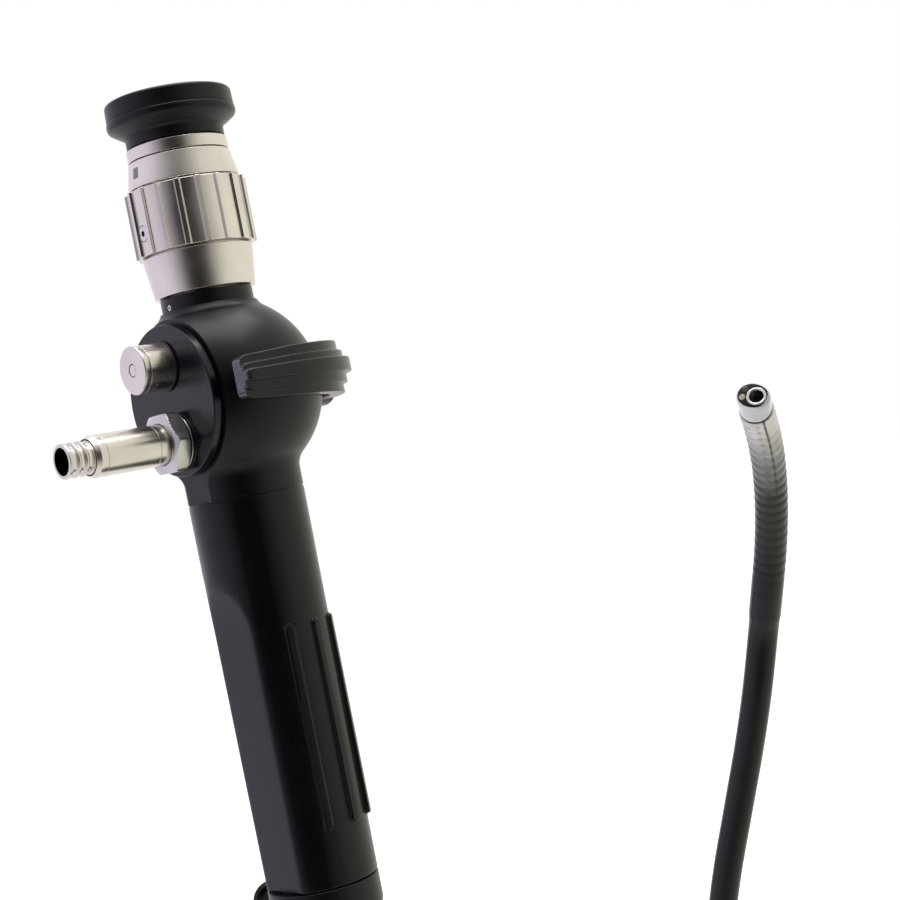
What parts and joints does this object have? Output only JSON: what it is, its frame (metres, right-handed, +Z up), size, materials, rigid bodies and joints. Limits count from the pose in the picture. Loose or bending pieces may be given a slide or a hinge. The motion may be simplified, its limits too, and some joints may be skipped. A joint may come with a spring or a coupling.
{
  "type": "flexible endoscope",
  "caption": "Hand-held flexible fibre endoscope with an eyepiece, a focus ring, a thumb lever, a light post and a slim insertion tube whose hinged end section bends.",
  "frame": {"origin": "on the handle's axis at the middle of the grip, where a hand or a holder has it", "axes": "+Z up the handle towards the eyecup, -X out of the side plate along the light post, -Y towards the thumb rest of the lever"},
  "size_m": [0.0782, 0.2005, 0.3157],
  "materials": {
    "black_case": "black anodised, satin",
    "black_grip": "moulded, fine matt grain",
    "black_lever": "moulded, satin",
    "satin_nickel": "turned, satin nickel plate",
    "steel": "stainless, fine turned",
    "brass": "turned",
    "black_rubber": "moulded",
    "black_sheath": "smooth polyurethane",
    "tip_grey": "satin grey",
    "lens_glass": "coated and polished",
    "fibre": "polished fibre ends",
    "white_polymer": "extruded fluoropolymer"
  },
  "bodies": {
    "handle": {"control_body": "black_case", "neck_screw_left": "steel", "neck_screw_right": "steel", "grip": "black_grip", "channel_block": "black_case", "channel_port": "steel", "strain_relief": "black_rubber", "lower_barrel": "satin_nickel", "upper_barrel": "satin_nickel", "top_collar": "satin_nickel", "eyecup": "black_case", "eyepiece_window": "lens_glass", "side_plate": "black_case", "plate_gasket": "black_rubber", "leak_port_body": "satin_nickel", "leak_port_cap": "satin_nickel", "leak_valve_spring": "steel", "light_post_nut": "steel", "light_post": "satin_nickel", "light_post_nipple": "satin_nickel", "light_guide": "fibre", "image_bundle_ferrule": "steel", "image_bundle": "fibre", "shaft_bush": "brass", "coil_pipe_up": "steel", "coil_pipe_down": "steel", "insertion_tube": "black_sheath", "shaft_ferrule": "steel", "base_ring": "steel", "bending_rubber": "black_sheath", "working_channel": "white_polymer"},
    "lever": {"lever": "black_lever", "lever_shaft": "steel", "lever_screw": "steel", "wire_drum": "brass"},
    "focus_ring": {"focus_ring": "satin_nickel", "focus_ring_screw": "steel"},
    "lens_carrier": {"lens_carrier": "brass", "ocular_lens": "lens_glass"},
    "leak_pin": {"leak_valve_pin": "steel"},
    "wire_up": {"pull_wire_up": "steel"},
    "wire_down": {"pull_wire_down": "steel"},
    "link_01": {"bending_link_01": "steel"},
    "link_02": {"bending_link_02": "steel"},
    "link_03": {"bending_link_03": "steel"},
    "link_04": {"bending_link_04": "steel"},
    "link_05": {"bending_link_05": "steel"},
    "link_06": {"bending_link_06": "steel"},
    "link_07": {"bending_link_07": "steel"},
    "link_08": {"bending_link_08": "steel"},
    "link_09": {"bending_link_09": "steel"},
    "link_10": {"bending_link_10": "steel"},
    "link_11": {"bending_link_11": "steel"},
    "link_12": {"bending_link_12": "steel"},
    "link_13": {"bending_link_13": "steel"},
    "tip": {"bending_link_14": "steel", "tip_body": "tip_grey", "channel_mouth": "steel", "objective_lens": "lens_glass", "light_lens": "fibre"}
  },
  "joints": [
    {"name": "lever_swing", "type": "hinge", "parent": "handle", "child": "lever", "pos_m": [0, 0, 0.073], "axis": [1, 0, 0], "range_deg": [-30.5, 29.5]},
    {"name": "focus_turn", "type": "hinge", "parent": "handle", "child": "focus_ring", "pos_m": [0, 0, 0.1082], "axis": [0, 0, 1], "range_deg": [-60, 60]},
    {"name": "lens_slide", "type": "slide", "parent": "handle", "child": "lens_carrier", "axis": [0, 0, 1], "range_m": [-0.002, 0.002]},
    {"name": "leak_pin_press", "type": "slide", "parent": "handle", "child": "leak_pin", "axis": [1, 0, 0], "range_m": [0, 0.0012], "stiffness_N_per_m": 300, "springref_m": -0.002, "deforming": ["leak_valve_spring"]},
    {"name": "wire_up_slide", "type": "slide", "parent": "handle", "child": "wire_up", "axis": [0, 0, 1], "range_m": [-0.0047, 0.0047]},
    {"name": "wire_down_slide", "type": "slide", "parent": "handle", "child": "wire_down", "axis": [0, 0, 1], "range_m": [-0.0047, 0.0047]},
    {"name": "bend_01", "type": "hinge", "parent": "handle", "child": "link_01", "pos_m": [0.0149, -0.14441, 0.01557], "axis": [0.3092, -0.853, -0.4204], "range_deg": [-12.8, 12.4], "deforming": ["bending_rubber", "working_channel"]},
    {"name": "bend_02", "type": "hinge", "parent": "link_01", "child": "link_02", "pos_m": [0.01409, -0.14591, 0.01801], "axis": [0.3092, -0.853, -0.4204], "range_deg": [-12.8, 12.4]},
    {"name": "bend_03", "type": "hinge", "parent": "link_02", "child": "link_03", "pos_m": [0.01317, -0.14742, 0.02039], "axis": [0.3092, -0.853, -0.4204], "range_deg": [-12.8, 12.4]},
    {"name": "bend_04", "type": "hinge", "parent": "link_03", "child": "link_04", "pos_m": [0.01215, -0.14894, 0.02273], "axis": [0.3092, -0.853, -0.4204], "range_deg": [-12.8, 12.4]},
    {"name": "bend_05", "type": "hinge", "parent": "link_04", "child": "link_05", "pos_m": [0.01102, -0.15047, 0.02501], "axis": [0.3092, -0.853, -0.4204], "range_deg": [-12.8, 12.4]},
    {"name": "bend_06", "type": "hinge", "parent": "link_05", "child": "link_06", "pos_m": [0.00979, -0.15201, 0.02723], "axis": [0.3092, -0.853, -0.4204], "range_deg": [-12.8, 12.4]},
    {"name": "bend_07", "type": "hinge", "parent": "link_06", "child": "link_07", "pos_m": [0.00846, -0.15356, 0.02939], "axis": [0.3092, -0.853, -0.4204], "range_deg": [-12.8, 12.4]},
    {"name": "bend_08", "type": "hinge", "parent": "link_07", "child": "link_08", "pos_m": [0.00702, -0.15511, 0.03148], "axis": [0.3092, -0.853, -0.4204], "range_deg": [-12.8, 12.4]},
    {"name": "bend_09", "type": "hinge", "parent": "link_08", "child": "link_09", "pos_m": [0.00549, -0.15666, 0.0335], "axis": [0.3092, -0.853, -0.4204], "range_deg": [-12.8, 12.4]},
    {"name": "bend_10", "type": "hinge", "parent": "link_09", "child": "link_10", "pos_m": [0.00387, -0.15821, 0.03544], "axis": [0.3092, -0.853, -0.4204], "range_deg": [-12.8, 12.4]},
    {"name": "bend_11", "type": "hinge", "parent": "link_10", "child": "link_11", "pos_m": [0.00215, -0.15975, 0.03731], "axis": [0.3092, -0.853, -0.4204], "range_deg": [-12.8, 12.4]},
    {"name": "bend_12", "type": "hinge", "parent": "link_11", "child": "link_12", "pos_m": [0.00034, -0.16128, 0.0391], "axis": [0.3092, -0.853, -0.4204], "range_deg": [-12.8, 12.4]},
    {"name": "bend_13", "type": "hinge", "parent": "link_12", "child": "link_13", "pos_m": [-0.00155, -0.16281, 0.0408], "axis": [0.3092, -0.853, -0.4204], "range_deg": [-12.8, 12.4]},
    {"name": "bend_14", "type": "hinge", "parent": "link_13", "child": "tip", "pos_m": [-0.00353, -0.16433, 0.04242], "axis": [0.3092, -0.853, -0.4204], "range_deg": [-12.8, 12.4]}
  ],
  "couplings": [
    {"joint": "lens_slide", "follows": "focus_turn", "m_per_rad": -0.0019},
    {"joint": "wire_up_slide", "follows": "lever_swing", "m_per_rad": 0.0085},
    {"joint": "wire_down_slide", "follows": "lever_swing", "m_per_rad": -0.0085},
    {"joint": "bend_01", "follows": "lever_swing", "ratio": 0.41667},
    {"joint": "bend_02", "follows": "lever_swing", "ratio": 0.41667},
    {"joint": "bend_03", "follows": "lever_swing", "ratio": 0.41667},
    {"joint": "bend_04", "follows": "lever_swing", "ratio": 0.41667},
    {"joint": "bend_05", "follows": "lever_swing", "ratio": 0.41667},
    {"joint": "bend_06", "follows": "lever_swing", "ratio": 0.41667},
    {"joint": "bend_07", "follows": "lever_swing", "ratio": 0.41667},
    {"joint": "bend_08", "follows": "lever_swing", "ratio": 0.41667},
    {"joint": "bend_09", "follows": "lever_swing", "ratio": 0.41667},
    {"joint": "bend_10", "follows": "lever_swing", "ratio": 0.41667},
    {"joint": "bend_11", "follows": "lever_swing", "ratio": 0.41667},
    {"joint": "bend_12", "follows": "lever_swing", "ratio": 0.41667},
    {"joint": "bend_13", "follows": "lever_swing", "ratio": 0.41667},
    {"joint": "bend_14", "follows": "lever_swing", "ratio": 0.41667}
  ]
}
